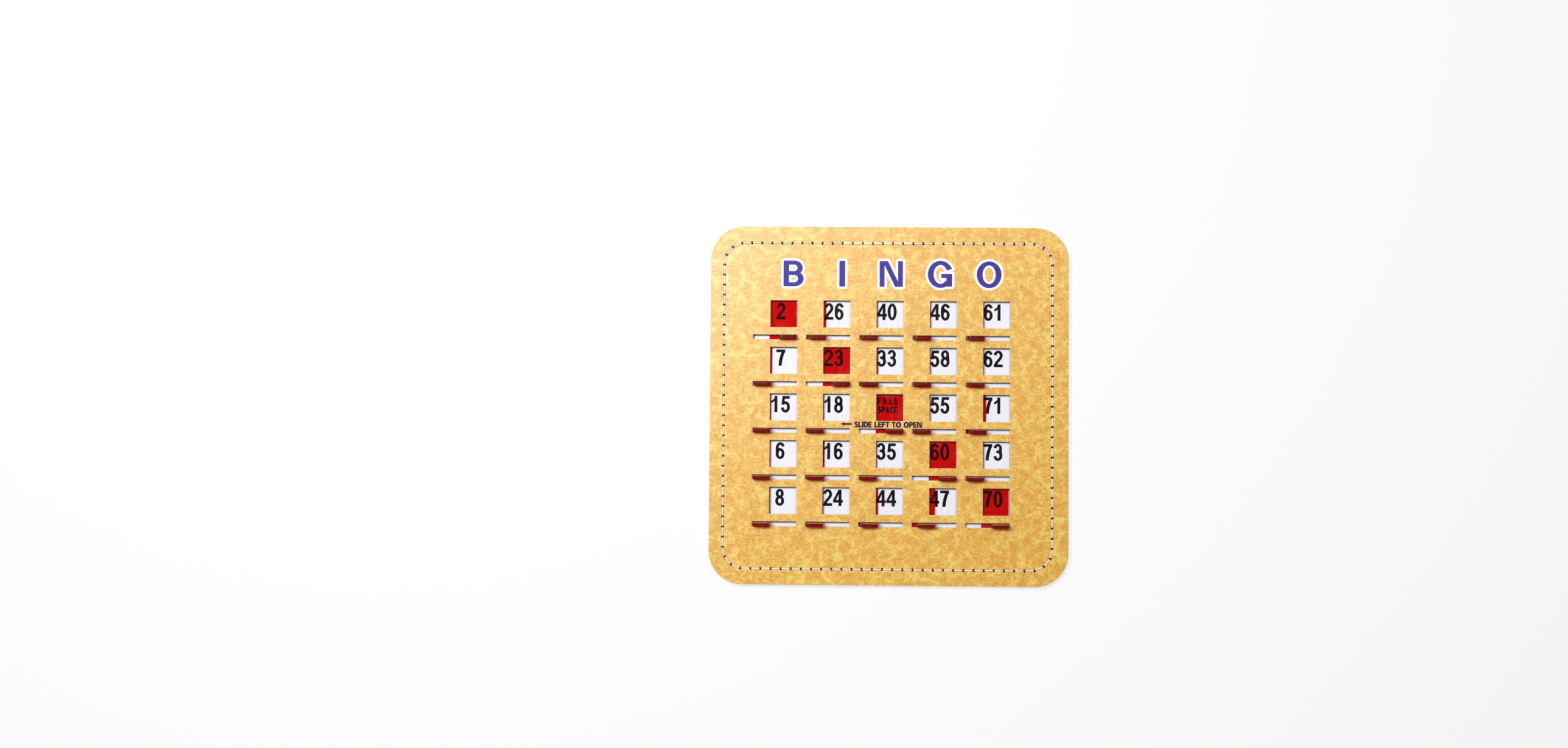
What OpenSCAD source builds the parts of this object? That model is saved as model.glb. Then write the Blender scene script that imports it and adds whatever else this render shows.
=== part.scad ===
// Bingo card with finger-tip shutters: a laminated board card, stitched round its edge,
// whose twenty-five moulded shutters slide over windows in the face.
// The card lies on its back. +X is to the reader's right, +Y towards the column letters
// and +Z out of the face. The origin is under the middle of the card, on its back.

/* [Card] */
// Board to the left of the first window column
left_margin = 32.8; // [26:0.1:45]
// Board to the right of the last window column
right_margin = 31.6; // [26:0.1:45]
// Board above the first window row, where the column letters are printed
top_margin = 40.4; // [28:0.1:60]
// Board below the last row of finger slots
bottom_margin = 31.6; // [22:0.1:45]
// Radius of the card's four corners
corner_r = 18.2; // [6:0.1:24]

/* [Plies] */
// Thickness of the cover paper on the face and on the back
paper_t = 0.3; // [0.2:0.05:0.6]
// Thickness of the board under the face paper
face_board_t = 1.3; // [0.8:0.05:2.5]
// Thickness of the board behind the numbers
back_board_t = 1.2; // [0.8:0.05:2.5]
// Thickness of the sheet that the numbers are printed on
sheet_t = 0.15; // [0.1:0.05:0.4]

/* [Windows and slots] */
// Width of a number window
win_w = 14.6; // [10:0.1:20]
// Height of a number window
win_h = 14.6; // [10:0.1:20]
// Board between a window and the finger slot below it
slot_drop = 4.15; // [2.5:0.05:8]
// Width of a finger slot, across the tab
slot_w = 2.5; // [2:0.05:4]
// Rail of board between one row of shutters and the next
rail_w = 2.2; // [1.5:0.05:6]

/* [Shutters] */
// Thickness of a shutter's blade
blade_t = 0.8; // [0.6:0.05:1.5]
// Blade above the window
top_lap = 0.7; // [0.3:0.05:2]
// Blade beyond the window's left edge when it is closed
side_lap = 0.3; // [0.1:0.05:1]
// Blade below the finger slot
foot_lap = 0.85; // [0.4:0.05:2]
// Strip of the blade that still shows in the window when it is fully open
open_lip = 0.5; // [0:0.05:1]
// Corner radius of a blade
blade_r = 0.5; // [0.2:0.05:1]
// Length of a finger tab along the slot
tab_l = 9.8; // [6:0.1:13]
// Thickness of a finger tab at its top
tab_top_t = 1.45; // [1:0.05:1.8]
// Height of a finger tab above the face of the card
tab_h = 5.5; // [3:0.1:8]
// Radius of a finger tab's two top corners
tab_r = 2.1; // [0.5:0.05:2.8]

/* [Fits] */
// Play at each end of a shutter's travel
end_gap = 0.1; // [0.05:0.05:0.3]
// Play between an open blade and its closed neighbour
blade_gap = 0.15; // [0.1:0.05:0.5]
// Play between a blade and the rails above and below it
guide_gap = 0.2; // [0.1:0.05:0.5]
// Play between a blade and the plies in front of it and behind it
lift_gap = 0.1; // [0.05:0.05:0.3]
// Play between a finger tab and each side of its slot
tab_gap = 0.1; // [0.05:0.05:0.25]

/* [Seam] */
// Seam in from the card's left edge
seam_left = 7.6; // [5:0.1:12]
// Seam in from the card's right edge
seam_right = 8.8; // [5:0.1:12]
// Seam in from the card's top edge
seam_top = 9; // [5:0.1:12]
// Seam in from the card's bottom edge
seam_bottom = 8.6; // [5:0.1:12]
// Radius of the seam at the corners
seam_r = 11.5; // [8:0.1:20]
// Length of one stitch
stitch_l = 5.5; // [4:0.1:9]
// Place where the seam starts and is locked, left of the card's middle
seam_start = 25.5; // [10:0.5:50]
// Stitches sewn a second time over the start of the seam
locked_stitches = 7; // [2:1:12]
// Width of the flattened thread
thread_w = 0.6; // [0.3:0.05:0.8]
// Thickness of a stitch on the face or in the back
thread_t = 0.22; // [0.1:0.02:0.28]
// Diameter of a needle hole
needle_d = 1.2; // [0.8:0.05:1.5]
// Play round the thread in a needle hole
needle_gap = 0.1; // [0.05:0.05:0.2]

/* [Hidden] */

// Columns and rows of the game
columns = 5;
rows = 5;
// Segments in a round outline, and sides of a punched needle hole
round_fn = 64;
needle_fn = 8;
// Overrun of every cut past the face that it breaks
over = 1;

// How far each shutter stands open, row by row from the top: 0 is closed and 1 is fully open
open_shares = [
    [0.02, 0.94, 1, 1, 1],
    [0.97, 0, 0.97, 1, 1],
    [1, 1, 0, 1, 0.91],
    [1, 0.97, 1, 0, 1],
    [1, 1, 0.95, 0.81, 0.03]
];

// Shutter and its travel
travel = win_w - end_gap - open_lip;
slot_l = tab_l + travel + 2 * end_gap;
blade_w = win_w + side_lap - end_gap;
blade_h = top_lap + win_h + slot_drop + slot_w + foot_lap;
tab_foot_t = slot_w - 2 * tab_gap;

// Grid of windows
col_pitch = travel + blade_w + blade_gap;
channel_h = blade_h + 2 * guide_gap;
row_pitch = channel_h + rail_w;
channel_l = columns * col_pitch + blade_gap;
channel_t = blade_t + 2 * lift_gap;

// Outline of the card, with x and y measured from its middle
card_w = left_margin + (columns - 1) * col_pitch + win_w + right_margin;
card_h = top_margin + (rows - 1) * row_pitch + win_h + slot_drop + slot_w + bottom_margin;

// Height of each ply's lower face above the back of the card
back_board_z = paper_t;
sheet_z = back_board_z + back_board_t;
channel_z = sheet_z + sheet_t;
face_board_z = channel_z + channel_t;
face_paper_z = face_board_z + face_board_t;
card_t = face_paper_z + paper_t;
blade_z = channel_z + lift_gap;
tab_rise = card_t + tab_h - blade_z - blade_t;

// Seam: a rectangle with round corners, run clockwise from the left end of its top side
seam_w = card_w - seam_left - seam_right;
seam_h = card_h - seam_top - seam_bottom;
seam_mid_x = (seam_left - seam_right) / 2;
seam_mid_y = (seam_bottom - seam_top) / 2;
seam_arc = PI * seam_r / 2;
seam_len = 2 * (seam_w + seam_h) - 8 * seam_r + 4 * seam_arc;
stitches = round(seam_len / stitch_l);
stitch_step = seam_len / stitches;
seam_first = seam_w / 2 - seam_r - seam_start - seam_mid_x;
leg_d = needle_d - 2 * needle_gap;
lock_shift = thread_w - needle_gap;
lock_z = card_t / 2;

// Left edge and top edge of a window; the first column and the first row are 0
function window_left(col) = left_margin - card_w / 2 + col * col_pitch;
function window_top(row) = card_h / 2 - top_margin - row * row_pitch;

// Turns a point about the origin
function turned(p, a) = [p[0] * cos(a) - p[1] * sin(a), p[0] * sin(a) + p[1] * cos(a)];

// Side k of the seam, 0 top, 1 right, 2 bottom and 3 left, is a straight and the corner after it
function side_run(k) = (k % 2 == 0 ? seam_w : seam_h) - 2 * seam_r;
function side_start(k) = k == 0 ? 0 : side_start(k - 1) + side_run(k - 1) + seam_arc;
function side_of(s) = s < side_start(1) ? 0 : s < side_start(2) ? 1 : s < side_start(3) ? 2 : 3;
function side_reach(k) = (k % 2 == 0 ? seam_h : seam_w) / 2;

// Point of the seam at run s, moved outwards by shift
function seam_point(s, shift = 0) =
    let (
        run = s - floor(s / seam_len) * seam_len,
        k = side_of(run),
        u = run - side_start(k),
        straight = min(u, side_run(k)),
        turn = (u - straight) / seam_r * 180 / PI,
        reach = seam_r + shift,
        across = straight - side_run(k) / 2 + reach * sin(turn),
        out = side_reach(k) - seam_r + reach * cos(turn)
    )
    turned([across, out], -90 * k) + [seam_mid_x, seam_mid_y];

// Needle holes, and the ends of the locked stitches, which lie outside the first ones
needle_points = [for (i = [0 : stitches - 1]) seam_point(seam_first + i * stitch_step)];
lock_points = [for (i = [0 : locked_stitches]) seam_point(seam_first + i * stitch_step, lock_shift)];

// Rectangle with round corners, about the origin
module round_rectangle(w, h, r) {
    square([w - 2 * r, h], center = true);
    square([w, h - 2 * r], center = true);
    for (x = [-1, 1], y = [-1, 1])
        translate([x * (w / 2 - r), y * (h / 2 - r)]) circle(r = r, $fn = round_fn);
}

// A whole ply of the card, before any windows, with the seam's needle holes
module ply(z, t) {
    translate([0, 0, z]) linear_extrude(t) difference() {
        round_rectangle(card_w, card_h, corner_r);
        needle_holes();
    }
}

module needle_holes() {
    for (p = needle_points) translate(p) circle(d = needle_d, $fn = needle_fn);
}

// Windows and the finger slots below them, cut through whatever lies above z
module face_cuts(z, t) {
    for (col = [0 : columns - 1], row = [0 : rows - 1])
        translate([window_left(col), window_top(row), z - over]) {
            translate([0, -win_h, 0]) cube([win_w, win_h, t + 2 * over]);
            translate([win_w - slot_l, -win_h - slot_drop - slot_w, 0])
                cube([slot_l, slot_w, t + 2 * over]);
        }
}

// Channels that the rows of shutters run in
module channel_cuts() {
    for (row = [0 : rows - 1])
        translate([
            window_left(0) + win_w - slot_l + tab_l + end_gap - blade_w - blade_gap,
            window_top(row) + top_lap + guide_gap - channel_h,
            channel_z - over
        ])
            cube([channel_l, channel_h, channel_t + 2 * over]);
}

// One stitch lying flat between the holes at p and q
module stitch_line(p, q) {
    translate(p) rotate(atan2(q[1] - p[1], q[0] - p[0]))
        translate([leg_d / 4, -thread_w / 2]) square([norm(q - p) - leg_d / 2, thread_w]);
}

// Stitches from hole to hole, once round the card and on over the locked ones
module stitch_lines() {
    for (i = [0 : stitches - 1])
        stitch_line(needle_points[i], needle_points[(i + 1) % stitches]);
    for (i = [1 : locked_stitches]) stitch_line(lock_points[i - 1], lock_points[i]);
    stitch_ends();
}

// Thread where it turns down into each needle hole
module stitch_ends() {
    for (p = needle_points) translate(p) circle(d = leg_d, $fn = needle_fn);
}

module back_paper() {
    color("burlywood") difference() {
        ply(0, paper_t);
        translate([0, 0, -over]) linear_extrude(over + thread_t) stitch_lines();
    }
}

module back_board() {
    color("rosybrown") ply(back_board_z, back_board_t);
}

module number_sheet() {
    color("white") ply(sheet_z, sheet_t);
}

module channel_board() {
    color("tan") difference() {
        ply(channel_z, channel_t);
        channel_cuts();
    }
}

module face_board() {
    color("rosybrown") difference() {
        ply(face_board_z, face_board_t);
        face_cuts(face_board_z, face_board_t);
    }
}

module face_paper() {
    color("goldenrod") difference() {
        ply(face_paper_z, paper_t);
        face_cuts(face_paper_z, paper_t);
    }
}

// Upper thread: the stitches on the face and their legs down to the lock with the lower thread
module needle_thread() {
    color("ghostwhite") {
        translate([0, 0, card_t]) linear_extrude(thread_t) stitch_lines();
        translate([0, 0, lock_z]) linear_extrude(card_t - lock_z) stitch_ends();
    }
}

// Lower thread: pressed into the back paper, with its legs up to the lock
module bobbin_thread() {
    color("ghostwhite") {
        linear_extrude(thread_t) stitch_lines();
        linear_extrude(lock_z) stitch_ends();
    }
}

// Side view of a finger tab, with its two top corners rounded, from the blade up
module tab_side() {
    square([tab_l, tab_rise - tab_r]);
    translate([tab_r, 0]) square([tab_l - 2 * tab_r, tab_rise]);
    for (x = [tab_r, tab_l - tab_r])
        translate([x, tab_rise - tab_r]) circle(r = tab_r, $fn = round_fn);
}

// End view of a finger tab, thinner at the top
module tab_end() {
    polygon([
        [-tab_foot_t / 2, 0], [tab_foot_t / 2, 0],
        [tab_top_t / 2, tab_rise], [-tab_top_t / 2, tab_rise]
    ]);
}

// One shutter, with the right edge of its blade at x = 0 and its slot's middle at y = 0
module shutter_body() {
    translate([-blade_w / 2, blade_h / 2 - foot_lap - slot_w / 2, 0])
        linear_extrude(blade_t) round_rectangle(blade_w, blade_h, blade_r);
    translate([-tab_l, 0, blade_t]) intersection() {
        translate([0, slot_w, 0]) rotate([90, 0, 0]) linear_extrude(2 * slot_w) tab_side();
        rotate([90, 0, 90]) linear_extrude(tab_l) tab_end();
    }
}

// A shutter where it stands over its window; the first column and the first row are 0
module shutter(col, row) {
    color("crimson") translate([
        window_left(col) + win_w - end_gap - open_shares[row][col] * travel,
        window_top(row) - win_h - slot_drop - slot_w / 2,
        blade_z
    ])
        shutter_body();
}

back_paper();
back_board();
number_sheet();
channel_board();
face_board();
face_paper();
needle_thread();
bobbin_thread();
shutter(0, 0);  // shutter_b1
shutter(0, 1);  // shutter_b2
shutter(0, 2);  // shutter_b3
shutter(0, 3);  // shutter_b4
shutter(0, 4);  // shutter_b5
shutter(1, 0);  // shutter_i1
shutter(1, 1);  // shutter_i2
shutter(1, 2);  // shutter_i3
shutter(1, 3);  // shutter_i4
shutter(1, 4);  // shutter_i5
shutter(2, 0);  // shutter_n1
shutter(2, 1);  // shutter_n2
shutter(2, 2);  // shutter_n3
shutter(2, 3);  // shutter_n4
shutter(2, 4);  // shutter_n5
shutter(3, 0);  // shutter_g1
shutter(3, 1);  // shutter_g2
shutter(3, 2);  // shutter_g3
shutter(3, 3);  // shutter_g4
shutter(3, 4);  // shutter_g5
shutter(4, 0);  // shutter_o1
shutter(4, 1);  // shutter_o2
shutter(4, 2);  // shutter_o3
shutter(4, 3);  // shutter_o4
shutter(4, 4);  // shutter_o5
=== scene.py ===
# Bingo card with sliding shutters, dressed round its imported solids
import math
import random

import bmesh
import bpy
from mathutils import Euler, Matrix, Vector
from mathutils.geometry import delaunay_2d_cdt


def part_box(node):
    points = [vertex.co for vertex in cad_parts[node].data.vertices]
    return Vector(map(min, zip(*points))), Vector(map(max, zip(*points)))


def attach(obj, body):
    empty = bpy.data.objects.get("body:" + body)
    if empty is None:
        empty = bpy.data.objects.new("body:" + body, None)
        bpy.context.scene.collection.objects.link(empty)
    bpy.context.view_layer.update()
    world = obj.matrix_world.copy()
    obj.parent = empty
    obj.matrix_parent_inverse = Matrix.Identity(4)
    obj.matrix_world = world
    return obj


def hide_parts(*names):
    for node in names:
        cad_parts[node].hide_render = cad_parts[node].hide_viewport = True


bl_info = {
    "name": "Bingo card with sliding shutters",
    "version": (1, 0, 0),
    "blender": (4, 5, 0),
    "location": "3D View > Sidebar > Bingo card",
    "description": "Cover paper, board plies, clear red shutters, seam and print of a stitched bingo card",
    "category": "Object",
}

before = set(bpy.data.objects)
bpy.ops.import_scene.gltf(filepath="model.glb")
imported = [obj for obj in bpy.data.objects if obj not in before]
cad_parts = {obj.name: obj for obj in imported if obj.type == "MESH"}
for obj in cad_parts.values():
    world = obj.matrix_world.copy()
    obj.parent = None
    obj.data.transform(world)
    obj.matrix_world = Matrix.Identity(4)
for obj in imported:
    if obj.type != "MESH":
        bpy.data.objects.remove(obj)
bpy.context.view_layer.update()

# Sizes are in millimetres and turn into metres where a mesh is made
MM = 0.001
CARD_LOW, CARD_HIGH = (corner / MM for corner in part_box("face_paper"))
FACE_Z = CARD_HIGH.z
PAPER_Z = CARD_LOW.z
SHEET_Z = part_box("number_sheet")[1].z / MM
CARD_W = CARD_HIGH.x - CARD_LOW.x
CARD_H = CARD_HIGH.y - CARD_LOW.y
MID_Z = FACE_Z / 2

# Grid of windows
WINDOW = 14.6
COLUMN_PITCH = 28.95
ROW_PITCH = 25.4
FIRST_LEFT = -64.6
FIRST_TOP = 57.025

# Shutter, measured from the right end of its blade, the middle of its slot and its underside
BLADE_W = 14.8
BLADE_CORNER_R = 0.5
BLADE_H = 22.8
BLADE_T = 0.8
BLADE_FOOT = -2.1
TAB_L = 9.8
TAB_RISE = 7.2
TAB_R = 2.1
TAB_FOOT_T = 2.3
TAB_TOP_T = 1.45

# Seam: a rectangle with round corners; the thread's lean is in degrees
SEAM_LEFT = 7.6
SEAM_RIGHT = 8.8
SEAM_TOP = 9.0
SEAM_BOTTOM = 8.6
SEAM_R = 11.5
SEAM_START = 25.5
STITCH = 5.5
LOCKED_STITCHES = 7
LOCKED_SHIFT = 0.36
UNDER_LOCKED_SHIFT = -0.16
HOLE_RIM = 0.26
BACK_ARCH = 0.6
THREAD_LEAN = (1.2, 3.4)
NEEDLE_SEED = 5
BOBBIN_SEED = 9
# Half a stitch: run from its hole's middle, and height of the thread's middle above the face
STITCH_DIVE = [
    (0.3, -1.25), (0.34, -0.95), (0.42, -0.62), (0.56, -0.3), (0.76, 0.0), (1.12, 0.14), (1.6, 0.19),
]
STITCH_TOP = 0.2
SEAM_W = CARD_W - SEAM_LEFT - SEAM_RIGHT
SEAM_H = CARD_H - SEAM_TOP - SEAM_BOTTOM
SEAM_MID = Vector(((SEAM_LEFT - SEAM_RIGHT) / 2, (SEAM_BOTTOM - SEAM_TOP) / 2))

# What the number sheet and the face are printed with
COLUMNS = "BINGO"
NUMBERS = [
    ["2", "26", "40", "46", "61"],
    ["7", "23", "33", "58", "62"],
    ["15", "18", "", "55", "71"],
    ["6", "16", "35", "60", "73"],
    ["8", "24", "44", "47", "70"],
]
LETTER_CENTRES = (-52.2, -25.7, 1.0, 27.5, 54.2)
LETTER_MID_Y = 71.8
WORDS = "SLIDE LEFT TO OPEN"
WORDS_H = 2.85
WORDS_FOOT = -11.72
WORDS_ENDS = (-18.5, 17.9)
WORDS_NARROW = 0.95
WORDS_SHINE = 0.1
ARROW_H = 1.85
ARROW_START = (-25.8, -11.02)
NUMBER_DROP = 1.2
NUMBER_SHIFT = -1.65
INK_ROOM = 0.2
# Lines of the free cell: height, start and end from the window's left side, drop from its top, narrowing
FREE_LINES = [
    ("FREE", 3.4, 0.85, 11.6, 5.4, 0.78),
    ("SPACE", 3.3, 1.1, 11.3, 10.1, 0.68),
]

# How far the print reaches into and stands out of its paper
PRINT_DEPTH = 0.01
HALO_RISE = 0.008
LETTER_RISE = 0.016
WORDS_RISE = 0.01
NUMBER_RISE = 0.012

# Spots and veins of the cover paper's pattern, by how far apart they are
BLOT = 1.7
DRIFT = 9
GRIT = 1.1
BROAD_VEIN = 3.0
FINE_VEIN = 1.8
WRINKLE = 9

# Camera and floor: places in metres, turns in degrees, the focal length in the photo's pixels
PHOTO_W_PX = 2576
FOCAL_PX = 2300
SENSOR_W = 36
CAMERA_PLACE = (-0.04204, -0.00731, 0.76613)
CAMERA_TURN = (1.8165, 1.1289, 0.3978)
FLOOR_W = 60
FLOOR_Z = -0.00005


def tone(red, green, blue):
    """A display colour, 0 to 255, as the linear numbers that Blender keeps."""
    shares = [channel / 255 for channel in (red, green, blue)]
    return tuple(s / 12.92 if s <= 0.04045 else ((s + 0.055) / 1.055) ** 2.4 for s in shares)


# Tones that cuts, wear and painted shade add to the colours that a user may change
CUT_FIBRE = tone(226, 208, 176)
PAPER_HOLE_SHADE = tone(20, 13, 10)
SEAM_SHADE = tone(150, 100, 50)
PULP_FLECK = tone(196, 178, 156)
BOARD_HOLE_SHADE = tone(22, 16, 12)
LINING_FIBRE = tone(196, 184, 168)
SHEET_STREAK = tone(214, 214, 236)
SHEET_SMEAR = tone(206, 204, 208)
DUST = tone(236, 214, 210)
THREAD_HOLLOW_SHADE = tone(240, 234, 222)
THREAD_STAIN = tone(226, 216, 200)
THREAD_SUNK_SHADE = tone(14, 10, 8)
HALO_WORN = tone(238, 226, 196)
LETTER_WORN = tone(86, 74, 186)
WORDS_WORN = tone(62, 30, 72)
INK_WARM = tone(44, 28, 28)
INK_SPECK = tone(140, 136, 142)

# Clear plastic: colour of its body, and what its thin blade and thick tab let fall on the card
PLASTIC_TINT = (0.9, 0.1, 0.08)
BLADE_SHADE = (0.92, 0.32, 0.3)
TAB_SHADE = (0.5, 0.16, 0.15)


# Sizes and colours that a user may change
def colour_of(name, description, red, green, blue):
    return bpy.props.FloatVectorProperty(
        name=name, description=description, subtype="COLOR", size=3, min=0, max=1,
        default=tone(red, green, blue),
    )


def length_of(name, description, millimetres):
    return bpy.props.FloatProperty(
        name=name, description=description, subtype="DISTANCE", unit="LENGTH", min=0,
        default=millimetres * MM,
    )


def share_of(name, description, share):
    return bpy.props.FloatProperty(
        name=name, description=description, subtype="FACTOR", min=0, max=1, default=share,
    )


def level_of(name, description, level):
    return bpy.props.FloatProperty(name=name, description=description, min=0, default=level)


class BINGO_PG_paper(bpy.types.PropertyGroup):
    ground: colour_of("Ground", "Colour of the cover paper", 226, 166, 50)
    wisp: colour_of("Veins", "Colour of the paper's pale veins", 246, 211, 110)
    smudge: colour_of("Smudges", "Colour of the paper's brown smudges", 218, 144, 34)
    core: colour_of("Cut edge", "Colour of the paper where it is cut", 252, 243, 222)
    roll: length_of("Rolled edge", "How far the die rolls a cut edge over", 0.28)
    grain: length_of("Grain depth", "Depth of the leather grain", 0.026)


class BINGO_PG_board(bpy.types.PropertyGroup):
    pulp: colour_of("Pulp", "Colour of the grey chipboard", 164, 144, 126)
    fibre: colour_of("Fibres", "Colour of its dark fibres", 104, 88, 76)
    lining: colour_of("Lining", "Colour of the white top layer", 232, 224, 212)
    lining_t: length_of("Lining thickness", "Thickness of the white top layer", 0.33)
    sheet: colour_of("Number sheet", "Colour of the sheet that the numbers are on", 238, 238, 246)


class BINGO_PG_shutter(bpy.types.PropertyGroup):
    plastic: colour_of("Plastic", "Colour that the clear plastic lets through", 252, 0, 40)
    cloud: colour_of("Cloud", "Colour of the light that the plastic scatters back", 140, 4, 16)
    density: level_of("Depth of colour", "How fast the plastic swallows other colours, per metre", 2900)
    round_edge: length_of("Rounded edges", "Radius of the moulding's edges", 0.16)
    dust: share_of("Dust", "How much of the blades the dust specks cover", 0.5)


class BINGO_PG_seam(bpy.types.PropertyGroup):
    thread: colour_of("Thread", "Colour of the seam's thread", 255, 254, 250)
    radius: length_of("Thread radius", "Half the thickness of the thread", 0.4)


class BINGO_PG_print(bpy.types.PropertyGroup):
    letter: colour_of("Letters", "Colour of the column letters", 50, 36, 148)
    halo: colour_of("Halo", "Colour of the band round them", 252, 251, 248)
    halo_w: length_of("Halo width", "Width of the band round the column letters", 1.28)
    words: colour_of("Words", "Colour of the line that says how a shutter opens", 22, 6, 62)
    ink: colour_of("Numbers", "Colour of the numbers", 14, 13, 16)
    letter_h: length_of("Letter height", "Height of the column letters", 14.1)
    number_h: length_of("Number height", "Height of the numbers", 8.9)
    spread: length_of("Ink spread", "How far the ink of the numbers spreads into its paper", 0.2)
    line_spread: length_of("Line spread", "How far the ink of the small lines of words spreads", 0.22)


class BINGO_PG_stage(bpy.types.PropertyGroup):
    floor: colour_of("Floor", "Colour of the floor", 246, 246, 246)
    glow: share_of("White floor", "How far the floor shows as plain white to the eye", 0.75)
    key: level_of("Key lamp", "Light of the lamp at the left, 1 shows white as white", 0.48)
    sheen: level_of("Sheen lamp", "Light of the wide lamp whose sheen lies at the upper left", 0.37)
    top: level_of("Top lamp", "Light of the small lamp over the card's upper right corner", 0.11)
    sky: level_of("Room light", "Even light from all round", 0.1)


class BINGO_PG_card(bpy.types.PropertyGroup):
    paper: bpy.props.PointerProperty(type=BINGO_PG_paper)
    board: bpy.props.PointerProperty(type=BINGO_PG_board)
    shutter: bpy.props.PointerProperty(type=BINGO_PG_shutter)
    seam: bpy.props.PointerProperty(type=BINGO_PG_seam)
    print: bpy.props.PointerProperty(type=BINGO_PG_print)
    stage: bpy.props.PointerProperty(type=BINGO_PG_stage)


# Shader nodes written as sums
class Wire:
    """What comes out of a node. A sum on it adds Math nodes."""

    def __init__(self, finish, socket):
        self.finish = finish
        self.socket = socket

    def math(self, operation, *values):
        return self.finish.node("ShaderNodeMath", {"operation": operation}, dict(enumerate(values)))

    def __add__(self, other):
        return self.math("ADD", self, other)

    def __radd__(self, other):
        return self.math("ADD", other, self)

    def __sub__(self, other):
        return self.math("SUBTRACT", self, other)

    def __rsub__(self, other):
        return self.math("SUBTRACT", other, self)

    def __mul__(self, other):
        return self.math("MULTIPLY", self, other)

    def __abs__(self):
        return self.math("ABSOLUTE", self)

    def most(self, other):
        return self.math("MAXIMUM", self, other)

    def least(self, other):
        return self.math("MINIMUM", self, other)

    def sine(self):
        return self.math("SINE", self)


class Finish:
    """A material while its nodes are put together. Places on a piece are in millimetres."""

    def __init__(self, name):
        self.material = bpy.data.materials.new(name)
        self.material.use_nodes = True
        self.tree = self.material.node_tree
        self.tree.nodes.clear()
        self.place = self.vector("SCALE", self.node("ShaderNodeTexCoord", out="Object"), {"Scale": 1 / MM})
        self.x, self.y, self.z = self.parts(self.place)

    def node(self, kind, settings=None, sockets=None, out=0):
        made = self.tree.nodes.new(kind)
        for name, value in (settings or {}).items():
            setattr(made, name, value)
        for name, value in (sockets or {}).items():
            if isinstance(value, Wire):
                self.tree.links.new(value.socket, made.inputs[name])
            elif isinstance(value, (tuple, list)) and made.inputs[name].type == "RGBA":
                made.inputs[name].default_value = (*value[:3], 1)
            else:
                made.inputs[name].default_value = value
        return Wire(self, made.outputs[out])

    def vector(self, operation, first, others=None):
        sockets = {0: first, **(others or {})}
        return self.node("ShaderNodeVectorMath", {"operation": operation}, sockets)

    def parts(self, vector):
        split = self.node("ShaderNodeSeparateXYZ", sockets={0: vector})
        return [Wire(self, socket) for socket in split.socket.node.outputs]

    def joined(self, x, y, z):
        return self.node("ShaderNodeCombineXYZ", sockets={0: x, 1: y, 2: z})

    def noise(self, size, detail=2, rough=0.5, place=None, bend=0.0, out=0):
        """Noise whose spots are about size millimetres apart."""
        sockets = {"Vector": place or self.place, "Scale": 1 / size, "Detail": detail,
                   "Roughness": rough, "Distortion": bend}
        return self.node("ShaderNodeTexNoise", sockets=sockets, out=out)

    def cells(self, size, feature="F1", place=None):
        """Distance to the middles of cells about size millimetres apart, or to their borders."""
        sockets = {"Vector": place or self.place, "Scale": 1 / size}
        return self.node("ShaderNodeTexVoronoi", {"feature": feature}, sockets, "Distance")

    def veins(self, size, width, place):
        """1 on the borders of cells and 0 from a share of their size inwards."""
        return 1 - self.step(self.cells(size, "DISTANCE_TO_EDGE", place), 0.0, width)

    def swayed(self, size, detail, rough, reach):
        """Places pushed about by noise, by up to half of reach millimetres."""
        push = self.vector("SUBTRACT", self.noise(size, detail, rough, out=1), {1: (0.5, 0.5, 0.5)})
        return self.vector("ADD", self.place, {1: self.vector("SCALE", push, {"Scale": reach})})

    def step(self, value, low, high):
        """0 below low, 1 above high and smooth between them."""
        sockets = {0: value, 1: low, 2: high}
        return self.node("ShaderNodeMapRange", {"interpolation_type": "SMOOTHSTEP"}, sockets)

    def mix(self, share, first, second):
        """The first colour at a share of 0 and the second at 1."""
        return self.node("ShaderNodeMix", {"data_type": "RGBA"}, {0: share, 6: first, 7: second}, out=2)

    def bump(self, height, depth, under=None):
        """Bump from a height of 0 to 1 that stands for depth millimetres."""
        sockets = {"Strength": 1.0, "Distance": depth * MM, "Height": height}
        if under:
            sockets["Normal"] = under
        return self.node("ShaderNodeBump", sockets=sockets)

    def surface(self, colour, roughness, normal=None, specular=0.5, **constants):
        sockets = {"Base Color": colour, "Roughness": roughness, "Specular IOR Level": specular}
        sockets.update(constants)
        if normal:
            sockets["Normal"] = normal
        return self.node("ShaderNodeBsdfPrincipled", sockets=sockets)

    def blend(self, share, first, second):
        """The first shader at a share of 0 and the second at 1."""
        return self.node("ShaderNodeMixShader", sockets={0: share, 1: first, 2: second})

    def ray(self, kind):
        """1 for rays of one kind and 0 for all others."""
        return self.node("ShaderNodeLightPath", out=f"Is {kind} Ray")

    def done(self, shader, volume=None):
        output = self.tree.nodes.new("ShaderNodeOutputMaterial")
        self.tree.links.new(shader.socket, output.inputs["Surface"])
        if volume:
            self.tree.links.new(volume.socket, output.inputs["Volume"])
        return self.material


# Finishes
def leather_height(finish):
    """Fine leather grain of the cover paper, 0 to 1."""
    warp = finish.vector("SCALE", finish.noise(1.6, out=1), {"Scale": 0.5})
    pebbles = finish.cells(0.62, "F1", finish.vector("ADD", finish.place, {1: warp}))
    creases = finish.step(pebbles, 0.2, 0.75)
    return creases * 0.6 + finish.noise(0.28, 3, 0.6) * 0.4


def seam_distance(finish):
    """Distance in millimetres from the line of the seam."""
    side_x = abs(finish.x - SEAM_MID.x) - (SEAM_W / 2 - SEAM_R)
    side_y = abs(finish.y - SEAM_MID.y) - (SEAM_H / 2 - SEAM_R)
    corner = finish.joined(side_x.most(0), side_y.most(0), 0)
    corner_reach = finish.node("ShaderNodeVectorMath", {"operation": "LENGTH"}, {0: corner}, "Value")
    inner = side_x.most(side_y).least(0)
    return abs(corner_reach + inner - SEAM_R)


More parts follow.
